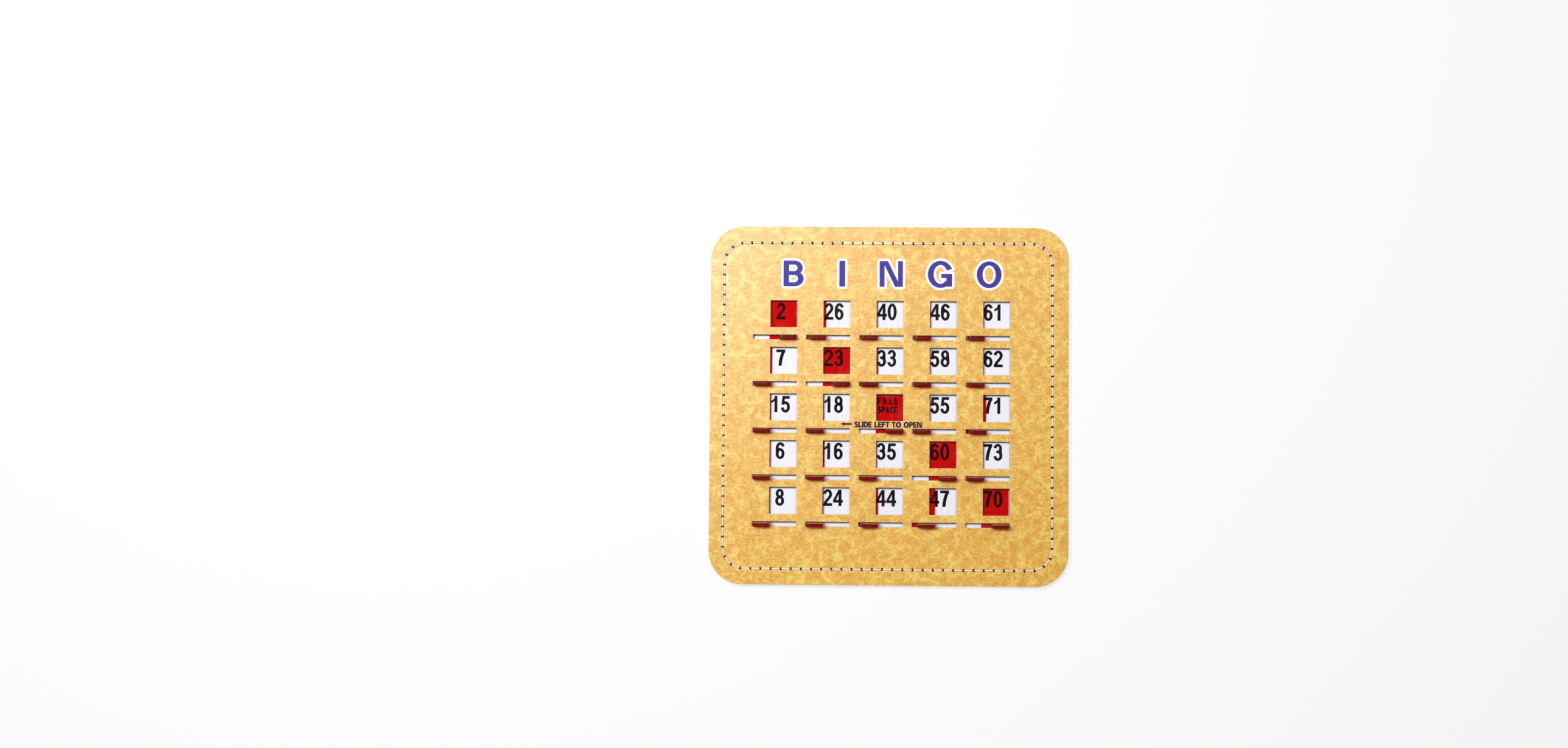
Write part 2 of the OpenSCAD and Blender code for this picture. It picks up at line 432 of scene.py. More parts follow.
def cover_paper(settings):
    """Tan paper with a printed leather mottle, pale where it is cut, with painted shade in its needle
    holes and along the seam.
    """
    finish = Finish("cover_paper")
    lean = finish.vector("MULTIPLY", finish.swayed(4.5, 4, 0.5, 5.0), {1: (0.6, 1.1, 1.0)})
    long = finish.vector("MULTIPLY", finish.place, {1: (0.7, 1.0, 1.0)})

    blots = finish.noise(BLOT, 4, 0.62, long)
    drifts = finish.noise(DRIFT, 3, 0.55)
    grit = finish.noise(GRIT, 3, 0.7, long)
    ripe = finish.step(blots * 0.25 + drifts * 0.12 + grit * 0.63, 0.34, 0.62)
    colour = finish.mix(ripe, settings.smudge[:], settings.ground[:])

    broad_veins = finish.veins(BROAD_VEIN, 0.24, lean)
    fine_veins = finish.veins(FINE_VEIN, 0.4, lean)
    wrinkles = finish.veins(WRINKLE, 0.09, finish.swayed(11, 5, 0.6, 16.0))
    gate = finish.step(finish.noise(5, 3, 0.6), 0.36, 0.62)
    pale = broad_veins * (0.04 + gate * 0.36) + fine_veins * (0.06 + gate * 0.24)
    pale = pale + (grit - 0.5) * 1.4 + wrinkles * gate * 0.6 + 0.13
    colour = finish.mix(pale, colour, settings.wisp[:])

    depth = MID_Z - abs(finish.z - MID_Z)
    seam = seam_distance(finish)
    rim = finish.step(depth, 0.02, 0.1)
    # Painted shade: the paper is coloured near black inside its needle holes, below the face
    in_hole_shade = finish.step(depth, 0.0, 0.04) * (1 - finish.step(seam, 1.6, 1.8))
    core = finish.mix(finish.noise(0.4, 3) * 0.5, settings.core[:], CUT_FIBRE)
    colour = finish.mix(rim, colour, core)
    colour = finish.mix(in_hole_shade, colour, PAPER_HOLE_SHADE)
    groove = finish.step(seam, 0.15, 1.1)
    colour = finish.mix((1 - groove) * 0.18, colour, SEAM_SHADE)

    grain = finish.bump(leather_height(finish), settings.grain / MM)
    normal = finish.bump(groove, 0.12, grain)
    rough = 0.33 + finish.noise(2.2, 3) * 0.1 + rim * 0.3
    varnish = {"Coat Weight": (1 - rim) * 0.65, "Coat Roughness": 0.38}
    return finish.done(finish.surface(colour, rough, normal, **varnish))


def pulp_colour(finish, settings):
    """Grey-brown recycled pulp, in thin layers along the board."""
    layered = finish.joined(finish.x * 0.55, finish.y * 0.55, finish.z * 3.2)
    fibres = finish.noise(0.55, 5, 0.7, layered)
    flecks = finish.step(finish.noise(0.9, 4, 0.7, layered, 0.8), 0.55, 0.75)
    colour = finish.mix(finish.step(fibres, 0.3, 0.7), settings.pulp[:], settings.fibre[:])
    return finish.mix(flecks * 0.5, colour, PULP_FLECK), fibres


def shaded_in_needle_holes(finish, colour):
    """A board's colour, with painted shade within the reach of the needle holes."""
    return finish.mix(1 - finish.step(seam_distance(finish), 1.0, 1.2), colour, BOARD_HOLE_SHADE)


def chipboard(settings):
    """Raw grey chipboard, fuzzy where it is cut."""
    finish = Finish("chipboard")
    colour, fibres = pulp_colour(finish, settings)
    colour = shaded_in_needle_holes(finish, colour)
    normal = finish.bump(fibres, 0.12)
    return finish.done(finish.surface(colour, 0.92, normal, specular=0.2))


def lined_board(settings):
    """The same board with a white top layer."""
    finish = Finish("lined_board")
    colour, fibres = pulp_colour(finish, settings)
    lining_z = PAPER_Z - settings.lining_t / MM
    line = finish.z + (finish.noise(0.6, 3) - 0.5) * 0.16
    white = finish.step(line, lining_z - 0.03, lining_z + 0.03)
    lining = finish.mix(finish.noise(0.5, 4) * 0.5, settings.lining[:], LINING_FIBRE)
    colour = shaded_in_needle_holes(finish, finish.mix(white, colour, lining))
    normal = finish.bump(fibres, 0.12)
    return finish.done(finish.surface(colour, 0.9, normal, specular=0.2))


def number_paper(settings):
    """Smooth white sheet with a faint lavender cast and thin printing streaks."""
    finish = Finish("number_paper")
    streaks = finish.noise(0.5, 2, 0.6, finish.joined(finish.x, finish.y * 0.02, 0))
    cast = finish.noise(14, 2)
    streaked = finish.step(streaks, 0.45, 0.75) * 0.35 + cast * 0.15
    colour = finish.mix(streaked, settings.sheet[:], SHEET_STREAK)
    smears = finish.step(finish.noise(2.4, 5, 0.7), 0.62, 0.8)
    colour = finish.mix(smears * 0.25, colour, SHEET_SMEAR)
    normal = finish.bump(finish.noise(0.35, 3), 0.006)
    return finish.done(finish.surface(colour, 0.55 + cast * 0.1, normal))


def red_plastic(settings):
    """Clear red moulded plastic: bright where it is thin, maroon through the depth of a tab."""
    finish = Finish("red_plastic")
    flow = finish.noise(3.5, 3, 0.55, finish.joined(finish.x, finish.y * 0.35, finish.z))
    scratches = finish.noise(0.22, 2, 0.5, finish.joined(finish.x * 0.15, finish.y, finish.z))
    rub = finish.step(scratches, 0.62, 0.8)
    normal = finish.bump(flow, 0.004)
    rough = 0.03 + rub * 0.06 + finish.step(flow, 0.5, 0.8) * 0.03
    glass = finish.surface(PLASTIC_TINT, rough, normal, **{"Transmission Weight": 1.0, "IOR": 1.49})
    cloud = finish.surface(settings.cloud[:], 0.2, normal)
    in_tab = finish.step(finish.z, SHEET_Z + 1.0, SHEET_Z + 1.4)
    clouded = finish.blend(0.01 + in_tab * 0.4, glass, cloud)

    spots = 1 - finish.step(finish.cells(0.85), 0.06, 0.15)
    dusty = finish.step(finish.noise(2.1, 3, 0.6), 0.98 - settings.dust, 1.1 - settings.dust)
    haze = finish.step(finish.noise(5, 4, 0.6), 0.5, 0.8) * 0.03
    dust = finish.surface(DUST, 0.8)
    dusted = finish.blend(spots * dusty * 0.7 + haze, clouded, dust)

    thin = finish.node("ShaderNodeBsdfTransparent", sockets={"Color": BLADE_SHADE})
    thick = finish.node("ShaderNodeBsdfTransparent", sockets={"Color": TAB_SHADE})
    shade = finish.blend(in_tab, thin, thick)
    clear = finish.blend(finish.ray("Shadow").most(finish.ray("Diffuse")), dusted, shade)
    body = finish.node("ShaderNodeVolumeAbsorption", sockets={
        "Color": settings.plastic[:], "Density": settings.density})
    return finish.done(clear, body)


def twisted_thread(settings):
    """White thread of twisted strands, read from each stitch's own place, with painted shade in the
    hollows between strands and where it sinks into the holes.
    """
    finish = Finish("thread")
    strand = finish.node("ShaderNodeAttribute", {"attribute_name": "strand"}, out="Vector")
    along, across, height = finish.parts(strand)
    twist = ((along + across * 1.3) * (2 * math.pi / 0.62)).sine()
    strands = finish.step(twist, -0.9, 0.3)
    # Painted shade in the hollows between the twisted strands
    colour = finish.mix(strands, THREAD_HOLLOW_SHADE, settings.thread[:])
    colour = finish.mix(finish.noise(1.1, 3) * 0.15, colour, THREAD_STAIN)
    # Painted shade: the thread turns near black where it sinks below the face into the holes
    on_face = finish.step(height, -0.12, 0.1)
    colour = finish.mix(on_face, THREAD_SUNK_SHADE, colour)
    normal = finish.bump(strands, 0.06)
    return finish.done(finish.surface(colour, 0.75, normal, specular=0.1))


def face_print(name, colour, worn, shine=0.35):
    """Print on the cover paper: it takes the paper's grain and is thin on its high spots."""
    finish = Finish(name)
    height = leather_height(finish)
    thin = finish.step(finish.noise(0.5, 4, 0.7), 0.62, 0.82)
    tint = finish.mix(thin * 0.3 + finish.noise(3, 3) * 0.12, colour, worn)
    normal = finish.bump(height, 0.03)
    return finish.done(finish.surface(tint, 0.45 + height * 0.15, normal, shine))


def number_ink(settings):
    """Black ink that is worn into pale specks and streaks."""
    finish = Finish("number_ink")
    specks = finish.step(finish.noise(0.32, 3, 0.65), 0.66, 0.76)
    upright = finish.joined(finish.x, finish.y * 0.25, 0)
    streaks = finish.step(finish.noise(0.5, 2, 0.6, upright), 0.5, 0.85)
    warm = finish.step(finish.noise(16, 1), 0.5, 0.62)
    ink = finish.mix(warm * 0.5, settings.ink[:], INK_WARM)
    colour = finish.mix(specks * 0.18 + streaks * 0.04, ink, INK_SPECK)
    normal = finish.bump(specks, 0.008)
    return finish.done(finish.surface(colour, 0.5 + streaks * 0.2, normal, specular=0.06))


def floor_white(settings):
    """Pale floor that shows near white to the eye all over and still takes the card's shadow."""
    finish = Finish("floor")
    pale = finish.surface(settings.floor[:], 0.7)
    white = finish.node("ShaderNodeEmission", sockets={"Color": (1, 1, 1), "Strength": 1.0})
    seen = finish.ray("Camera").most(finish.ray("Glossy").most(finish.ray("Transmission")))
    return finish.done(finish.blend(seen * settings.glow, pale, white))


# Modelling
def deselect():
    bpy.ops.object.select_all(action="DESELECT")


def take(*pieces):
    """Selects these pieces and nothing else; the first is the active one."""
    deselect()
    for piece in pieces:
        piece.select_set(True)
    bpy.context.view_layer.objects.active = pieces[0]


def add_box(name, low, high):
    """A box between two corners in millimetres, with its place in its mesh."""
    low, high = Vector(low) * MM, Vector(high) * MM
    deselect()
    bpy.ops.mesh.primitive_cube_add(size=1, location=(low + high) / 2, scale=high - low)
    bpy.ops.object.transform_apply(location=True, rotation=True, scale=True)
    piece = bpy.context.object
    piece.name = name
    piece.data.name = name
    return piece


def copy_of(pattern, name):
    """A copy of a piece, with a mesh of its own."""
    piece = pattern.copy()
    piece.data = pattern.data.copy()
    piece.name = name
    piece.data.name = name
    bpy.context.scene.collection.objects.link(piece)
    return piece


def pick(kind, test):
    """In edit mode, selects the verts, edges or faces that pass a test of their middle, in millimetres."""
    bpy.ops.mesh.select_mode(type={"verts": "VERT", "edges": "EDGE", "faces": "FACE"}[kind])
    bpy.ops.mesh.select_all(action="DESELECT")
    mesh = bpy.context.object.data
    shape = bmesh.from_edit_mesh(mesh)
    for part in getattr(shape, kind):
        ends = [part.co] if kind == "verts" else [v.co for v in part.verts]
        if test(sum(ends, Vector()) / len(ends) / MM, part):
            part.select_set(True)
    shape.select_flush_mode()
    bmesh.update_edit_mesh(mesh)


def apply_modifier(piece, kind, **settings):
    take(piece)
    modifier = piece.modifiers.new(kind.lower(), kind)
    for name, value in settings.items():
        setattr(modifier, name, value)
    bpy.ops.object.modifier_apply(modifier=modifier.name)


def finish_piece(piece, material, body, nodes=()):
    piece.data.materials.clear()
    piece.data.materials.append(material)
    if nodes:
        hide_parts(*nodes)
    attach(piece, body)


def dress_node(node, material):
    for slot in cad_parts[node].material_slots:
        slot.material = material


def paper_copy(node, name, roll):
    """A cover paper with its cut edges rolled over by the die, from the merged mesh of its solid."""
    low, high = (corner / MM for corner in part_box(node))
    outer_z = high.z if high.z > MID_Z else low.z
    paper = copy_of(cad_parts[node], name)
    paper.parent = None
    for key in list(paper.keys()):
        del paper[key]
    take(paper)
    bpy.ops.object.mode_set(mode="EDIT")
    bpy.ops.mesh.select_all(action="SELECT")
    bpy.ops.mesh.remove_doubles(threshold=0.002 * MM)
    bpy.ops.mesh.dissolve_limited(angle_limit=math.radians(0.1))

    def at_face(edge):
        flat = [abs(face.normal.z) > 0.9 for face in edge.link_faces]
        on_face = all(abs(vert.co.z / MM - outer_z) < 0.002 for vert in edge.verts)
        return on_face and len(flat) == 2 and flat[0] != flat[1]

    def is_hole(middle):
        side = abs(middle.x - SEAM_MID.x) - SEAM_W / 2
        end = abs(middle.y - SEAM_MID.y) - SEAM_H / 2
        outside_seam = max(side, end) > 1.5
        inside_seam = side < -4 and end < -4
        return not outside_seam and not inside_seam

    pick("edges", lambda middle, edge: at_face(edge) and not is_hole(middle))
    bpy.ops.mesh.bevel(offset=roll, segments=3, profile=0.5, clamp_overlap=True)
    pick("edges", lambda middle, edge: at_face(edge) and is_hole(middle))
    bpy.ops.mesh.bevel(offset=HOLE_RIM * MM, segments=1, clamp_overlap=False)
    bpy.ops.object.mode_set(mode="OBJECT")
    return paper


class BINGO_OT_papers(bpy.types.Operator):
    """Cover the card with mottled leather-grain paper, rolled over at its cut edges"""

    bl_idname = "bingo.papers"
    bl_label = "Cover papers"

    def execute(self, context):
        settings = context.scene.bingo_card.paper
        material = cover_paper(settings)
        for node in ("face_paper", "back_paper"):
            paper = paper_copy(node, node + "_skin", settings.roll)
            finish_piece(paper, material, "card", [node])
        return {"FINISHED"}


class BINGO_OT_boards(bpy.types.Operator):
    """Give the board plies their pulp and lining, and the number sheet its white"""

    bl_idname = "bingo.boards"
    bl_label = "Board plies"

    def execute(self, context):
        settings = context.scene.bingo_card.board
        plain = chipboard(settings)
        dress_node("back_board", plain)
        dress_node("channel_board", plain)
        dress_node("face_board", lined_board(settings))
        dress_node("number_sheet", number_paper(settings))
        return {"FINISHED"}


def tab_half(z):
    """Half the thickness of a tab at a height above the blade's underside."""
    return (TAB_FOOT_T + (TAB_TOP_T - TAB_FOOT_T) * (z - BLADE_T) / TAB_RISE) / 2


def model_shutter(settings):
    """One shutter: a blade with a tapered tab that stands on it, moulded in one."""
    blade = add_box("shutter", (-BLADE_W, BLADE_FOOT, 0), (0, BLADE_FOOT + BLADE_H, BLADE_T))
    bpy.ops.object.mode_set(mode="EDIT")
    pick("edges", lambda middle, edge: abs(middle.z - BLADE_T / 2) < 0.01)
    bpy.ops.mesh.bevel(offset=BLADE_CORNER_R * MM, segments=4)
    bpy.ops.object.mode_set(mode="OBJECT")

    foot_z, top_z = BLADE_T / 2, BLADE_T + TAB_RISE
    tab = add_box("tab", (-TAB_L, -tab_half(foot_z), foot_z), (0, tab_half(foot_z), top_z))
    bpy.ops.object.mode_set(mode="EDIT")
    pick("faces", lambda middle, face: face.normal.z > 0.9)
    bpy.ops.transform.resize(value=(1, tab_half(top_z) / tab_half(foot_z), 1))
    pick("edges", lambda middle, edge: middle.z > top_z - 0.01 and abs(middle.y) < 0.01)
    bpy.ops.mesh.bevel(offset=TAB_R * MM, segments=8)
    bpy.ops.object.mode_set(mode="OBJECT")

    apply_modifier(blade, "BOOLEAN", operation="UNION", solver="EXACT", object=tab)
    bpy.data.objects.remove(tab)
    apply_modifier(blade, "BEVEL", width=settings.round_edge, segments=3, limit_method="ANGLE",
                   angle_limit=math.radians(40))
    take(blade)
    bpy.ops.object.shade_smooth_by_angle(angle=math.radians(50))
    apply_modifier(blade, "WEIGHTED_NORMAL", weight=100, keep_sharp=True)
    return blade


class BINGO_OT_shutters(bpy.types.Operator):
    """Mould the clear red shutters and set one in each channel"""

    bl_idname = "bingo.shutters"
    bl_label = "Shutters"

    def execute(self, context):
        settings = context.scene.bingo_card.shutter
        material = red_plastic(settings)
        pattern = model_shutter(settings)
        for column in COLUMNS.lower():
            for row in range(1, 6):
                node = f"shutter_{column}{row}"
                low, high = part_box(node)
                shutter = copy_of(pattern, f"moulded_{node}")
                shutter.data.transform(Matrix.Translation((high.x, low.y - BLADE_FOOT * MM, low.z)))
                finish_piece(shutter, material, node, [node])
        bpy.data.objects.remove(pattern)
        return {"FINISHED"}


def seam_point(run, shift=0.0):
    """Point of the seam at a run from the left end of its top side, moved outwards by shift."""
    quarter = math.pi * SEAM_R / 2
    sides = [SEAM_W - 2 * SEAM_R, SEAM_H - 2 * SEAM_R] * 2
    left = run % (sum(sides) + 4 * quarter)
    side = 0
    while side < 3 and left >= sides[side] + quarter:
        left -= sides[side] + quarter
        side += 1
    straight = min(left, sides[side])
    turn = (left - straight) / SEAM_R
    reach = SEAM_R + shift
    out = (SEAM_H if side % 2 == 0 else SEAM_W) / 2 - SEAM_R + reach * math.cos(turn)
    across = straight - sides[side] / 2 + reach * math.sin(turn)
    return Matrix.Rotation(math.radians(-90 * side), 2) @ Vector((across, out)) + SEAM_MID


def stitch_ends():
    """Start and end of every stitch: once round the card, then a second row outside the first few."""
    length = 2 * (SEAM_W + SEAM_H) - 8 * SEAM_R + 2 * math.pi * SEAM_R
    stitches = round(length / STITCH)
    step = length / stitches
    first = SEAM_W / 2 - SEAM_R - SEAM_START - SEAM_MID.x
    ends = []
    for i in range(stitches + LOCKED_STITCHES):
        shift = 0.0
        if i >= stitches:
            shift = LOCKED_SHIFT
        elif i < LOCKED_STITCHES:
            shift = UNDER_LOCKED_SHIFT
        ends.append((seam_point(first + i * step, shift), seam_point(first + (i + 1) * step, shift)))
    return ends


def model_stitch(radius):
    """One stitch along X from hole to hole, on a face at z = 0, with both its ends down in the holes."""
    deselect()
    bpy.ops.curve.primitive_bezier_curve_add()
    strand = bpy.context.object
    strand.data.splines.clear()
    line = strand.data.splines.new("POLY")
    other_half = [(STITCH - x, z) for x, z in reversed(STITCH_DIVE)]
    path = STITCH_DIVE + [(STITCH / 2, STITCH_TOP)] + other_half
    line.points.add(len(path) - 1)
    for point, (x, z) in zip(line.points, path):
        point.co = (x * MM, 0, z * MM, 1)
    strand.data.bevel_depth = radius
    strand.data.bevel_resolution = 1
    strand.data.use_fill_caps = True
    take(strand)
    bpy.ops.object.convert(target="MESH")
    strand = bpy.context.object
    bpy.ops.object.mode_set(mode="EDIT")
    bpy.ops.mesh.select_all(action="SELECT")
    bpy.ops.mesh.remove_doubles(threshold=0.001 * MM)
    bpy.ops.mesh.normals_make_consistent(inside=False)
    bpy.ops.object.mode_set(mode="OBJECT")
    bpy.ops.object.shade_smooth()
    places = strand.data.attributes.new("strand", "FLOAT_VECTOR", "POINT")
    for vertex, place in zip(strand.data.vertices, places.data):
        place.vector = vertex.co / MM
    return strand


def sew(stitch, name, height, over):
    """Copies a stitch from hole to hole round the card; over is its arch's share, below 0 on the back."""
    chance = random.Random(NEEDLE_SEED if over > 0 else BOBBIN_SEED)
    copies = []
    for start, end in stitch_ends():
        run = end - start
        copy = copy_of(stitch, name)
        lean = math.atan2(run.y, run.x) - math.radians(chance.uniform(*THREAD_LEAN))
        middle = (start + end) / 2 * MM
        copy.data.transform(Matrix.Translation((-STITCH / 2 * MM, 0, 0)))
        stretch = Matrix.Diagonal((run.length / STITCH, 1, over, 1))
        turn = Matrix.Rotation(lean, 4, "Z")
        copy.data.transform(Matrix.Translation((middle.x, middle.y, height * MM)) @ turn @ stretch)
        if over < 0:
            copy.data.flip_normals()
        copies.append(copy)
    take(*copies)
    bpy.ops.object.join()
    return copies[0]


class BINGO_OT_seam(bpy.types.Operator):
    """Sew the lockstitch seam round the card, on its face and on its back"""

    bl_idname = "bingo.seam"
    bl_label = "Seam"

    def execute(self, context):
        settings = context.scene.bingo_card.seam
        material = twisted_thread(settings)
        stitch = model_stitch(settings.radius)
        upper = sew(stitch, "needle_stitches", FACE_Z, 1)
        lower_z = BACK_ARCH * (STITCH_TOP + settings.radius / MM)
        lower = sew(stitch, "bobbin_stitches", lower_z, -BACK_ARCH)
        bpy.data.objects.remove(stitch)
        finish_piece(upper, material, "card", ["needle_thread"])
        finish_piece(lower, material, "card", ["bobbin_thread"])
        return {"FINISHED"}


# Lettering, drawn on a height of 1
def arc(centre, reach, start, end):
    """Points along an ellipse from one angle to another, in degrees."""
    count = max(3, round(abs(end - start) / 7))
    turns = [math.radians(start + (end - start) * i / count) for i in range(count + 1)]
    return [(centre[0] + reach[0] * math.cos(a), centre[1] + reach[1] * math.sin(a)) for a in turns]


def curve(start, pull, push, end):
    """Points along a cubic curve."""
    points = []
    for i in range(15):
        t = i / 14
        weights = ((1 - t) ** 3, 3 * t * (1 - t) ** 2, 3 * t * t * (1 - t), t ** 3)
        ends = (start, pull, push, end)
        points.append(tuple(sum(w * p[axis] for w, p in zip(weights, ends)) for axis in (0, 1)))
    return points


def band(left, right):
    """A band between two runs of as many points, as four-sided pieces."""
    return [[left[i], left[i + 1], right[i + 1], right[i]] for i in range(len(left) - 1)]


def bowl(x, y, outer, inner, start=0, end=360):
    """A round stroke between two ellipses, from one angle to another."""
    return band(arc((x, y), outer, start, end), arc((x, y), inner, start, end))


def bar(x0, y0, x1, y1):
    """An upright or level bar between two corners."""
    return [[(x0, y0), (x1, y0), (x1, y1), (x0, y1)]]


GLYPHS = {
    "0": bowl(.29, .5, (.27, .515), (.115, .375)),
    "1": bar(.245, 0, .41, 1) + band(curve((.41, 1), (.28, 1), (.22, .74), (.05, .715)),
                                     curve((.3, .78), (.25, .74), (.2, .63), (.05, .585))),
    "2": bowl(.285, .72, (.265, .295), (.11, .165), 172, 0)
    + band(curve((.55, .72), (.55, .47), (.27, .36), (.22, .14)),
           curve((.395, .72), (.395, .5), (.03, .36), (.02, 0)))
    + bar(.02, 0, .555, .15),
    "3": bowl(.275, .745, (.245, .27), (.095, .145), 172, -75)
    + bowl(.28, .29, (.265, .305), (.11, .17), 100, -172) + bar(.19, .475, .33, .6),
    "4": bar(.335, 0, .5, 1) + bar(0, .21, .59, .36) + [[(.335, 1), (0, .36), (.15, .36), (.335, .72)]],
    "5": bar(.11, .85, .54, 1) + [[(.11, 1), (.045, .46), (.195, .5), (.24, .86), (.24, 1)]]
    + bowl(.285, .325, (.27, .345), (.115, .2), 140, -170),
    "6": bowl(.295, .315, (.26, .33), (.11, .195)) + bowl(.31, .66, (.275, .355), (.13, .215), 24, 180)
    + bar(.035, .31, .18, .67),
    "7": bar(.02, .85, .56, 1) + band(curve((.56, .88), (.44, .7), (.35, .3), (.34, 0)),
                                      curve((.38, .88), (.25, .66), (.18, .3), (.17, 0))),
    "8": bowl(.29, .745, (.235, .27), (.09, .145)) + bowl(.29, .28, (.265, .295), (.115, .165)),
    "A": [[(0, 0), (.22, 0), (.5, 1), (.29, 1)], [(.57, 0), (.79, 0), (.5, 1), (.29, 1)]]
    + bar(.16, .22, .63, .37),
    "B": bar(0, 0, .21, 1) + bar(.1, .84, .42, 1) + bar(.1, .435, .42, .597) + bar(.1, 0, .42, .16)
    + bowl(.42, .7185, (.32, .2815), (.115, .1215), 90, -90)
    + bowl(.42, .2985, (.36, .2985), (.135, .1365), 90, -90),
    "C": bowl(.42, .5, (.42, .52), (.21, .36), 42, 318),
    "D": bar(0, 0, .2, 1) + bar(.1, .84, .36, 1) + bar(.1, 0, .36, .16)
    + bowl(.36, .5, (.4, .5), (.2, .34), 90, -90),
    "E": bar(0, 0, .2, 1) + bar(.1, .84, .62, 1) + bar(.1, .43, .58, .585) + bar(.1, 0, .64, .16),
    "F": bar(0, 0, .2, 1) + bar(.1, .84, .6, 1) + bar(.1, .41, .54, .565),
    "G": bowl(.49, .495, (.49, .525), (.262, .365), 24, 300)
    + bar(.717, .02, .94, .515) + bar(.52, .355, .94, .515)
    + bowl(.49, .495, (.49, .525), (.262, .365), 300, 318),
    "I": bar(0, 0, .225, 1),
    "L": bar(0, 0, .2, 1) + bar(.1, 0, .6, .16),
    "N": bar(0, 0, .19, 1) + bar(.707, 0, .897, 1)
    + [[(.19, .838), (.597, 0), (.897, 0), (.707, .217), (.32, 1), (0, 1)]],
    "O": bowl(.4775, .49, (.4775, .519), (.25, .36)),
    "P": bar(0, 0, .2, 1) + bar(.1, .84, .38, 1) + bar(.1, .37, .38, .53)
    + bowl(.38, .685, (.3, .315), (.1, .155), 90, -90),
    "S": bowl(.34, .735, (.3, .285), (.11, .135), 22, 262)
    + bowl(.35, .27, (.33, .29), (.13, .135), 96, -158)
    + [[(.19, .47), (.24, .61), (.5, .545), (.44, .4)]],
    "T": bar(.24, 0, .44, 1) + bar(0, .84, .68, 1),
    "<": bar(.6, .32, 3.05, .68) + [[(0, .5), (1.05, 0), (.85, .5), (1.05, 1)]],
}
GLYPHS["R"] = GLYPHS["P"] + [[(.27, .42), (.5, .46), (.76, 0), (.52, 0)]]

# Gaps between letters and words, each digit's own width and the room at its side, on a height of 1
GAP = 0.13
SPACE = 0.34
DIGIT_STEP = 0.64
DIGIT_SIDE = 0.03


def glyph_width(letter):
    return max(point[0] for shape in GLYPHS[letter] for point in shape)


def line_shapes(text, height, left, foot, narrow=1.0, right=None):
    """Outlines of each letter of a line, in millimetres; with a right end, the gaps fill the line."""
    gap = GAP
    widths = [SPACE if letter == " " else glyph_width(letter) for letter in text]
    if right is not None:
        gap = ((right - left) / (height * narrow) - sum(widths)) / (len(text) - 1)
    groups = []
    run = 0.0
    for letter, width in zip(text, widths):
        if letter != " ":
            groups.append([
                [(left + (run + x) * height * narrow, foot + y * height) for x, y in shape]
                for shape in GLYPHS[letter]
            ])
        run += width + gap
    return groups


def number_shapes(text, height, centre, foot):
    """Outlines of each digit of a number about its centre; every digit takes the same width."""
    advance = DIGIT_STEP * height
    left = centre - advance * len(text) / 2 + DIGIT_SIDE * height
    groups = []
    for digit in text:
        shapes = GLYPHS[digit]
        groups.append([[(left + x * height, foot + y * height) for x, y in shape] for shape in shapes])
        left += advance
    return groups


def merged(shapes):
    """The union of overlapping outlines: its points, its triangles and the edges round it."""
    points, faces = [], []
    for shape in shapes:
        twice = sum(p[0] * q[1] - q[0] * p[1] for p, q in zip(shape, shape[1:] + shape[:1]))
        if abs(twice) > 1e-9:
            ordered = shape if twice > 0 else shape[::-1]
            faces.append(list(range(len(points), len(points) + len(ordered))))
            points.extend(Vector(point) for point in ordered)
    corners, _, found, _, _, covers = delaunay_2d_cdt(points, [], faces, 0, 1e-5)
    triangles = [triangle for triangle, covered in zip(found, covers) if covered]
    count = {}
    for triangle in triangles:
        for i, start in enumerate(triangle):
            edge = (start, triangle[(i + 1) % len(triangle)])
            count[edge] = count.get(edge, 0) + 1
    rim = [edge for edge in count if (edge[1], edge[0]) not in count]
    return corners, triangles, rim


def haloed(shapes, width):
    """Outlines of a band round some outlines, with round outer corners."""
    corners, triangles, rim = merged(shapes)
    grown = [[tuple(corners[i]) for i in triangle] for triangle in triangles]
    for start, end in rim:
        a, b = corners[start], corners[end]
        side = math.degrees(math.atan2(b.y - a.y, b.x - a.x))
        end_cap = arc(b, (width, width), side - 90, side + 90)
        start_cap = arc(a, (width, width), side + 90, side + 270)
        grown.append(end_cap + start_cap)
    return grown


def print_piece(name, groups, low_z, high_z, spread=0.0, many_arcs=False):
    """A thin flat piece between two heights, from its letters' outlines; spread makes it bolder."""
    points, faces = [], []
    for shapes in groups:
        corners, triangles, rim = merged(shapes)
        faces += [[len(points) + i for i in triangle] for triangle in triangles]
        points += [(p.x * MM, p.y * MM, low_z * MM) for p in corners]
    mesh = bpy.data.meshes.new(name)
    mesh.from_pydata(points, [], faces)
    piece = bpy.data.objects.new(name, mesh)
    bpy.context.scene.collection.objects.link(piece)
    take(piece)
    bpy.ops.object.mode_set(mode="EDIT")
    bpy.ops.mesh.select_all(action="SELECT")
    bpy.ops.mesh.remove_doubles(threshold=(0.002 if many_arcs else 0.03) * MM)
    bpy.ops.mesh.normals_make_consistent(inside=False)
    if not many_arcs:
        bpy.ops.mesh.dissolve_limited(angle_limit=math.radians(0.5))
    bpy.ops.mesh.extrude_region_move(TRANSFORM_OT_translate={"value": (0, 0, (high_z - low_z) * MM)})
    bpy.ops.mesh.select_all(action="SELECT")
    bpy.ops.mesh.normals_make_consistent(inside=False)
    if spread:
        bpy.ops.transform.shrink_fatten(value=spread)
    bpy.ops.object.mode_set(mode="OBJECT")
    middle = (low_z + high_z) / 2 * MM
    for vertex in mesh.vertices:
        vertex.co.z = (high_z if vertex.co.z > middle else low_z) * MM
    return piece


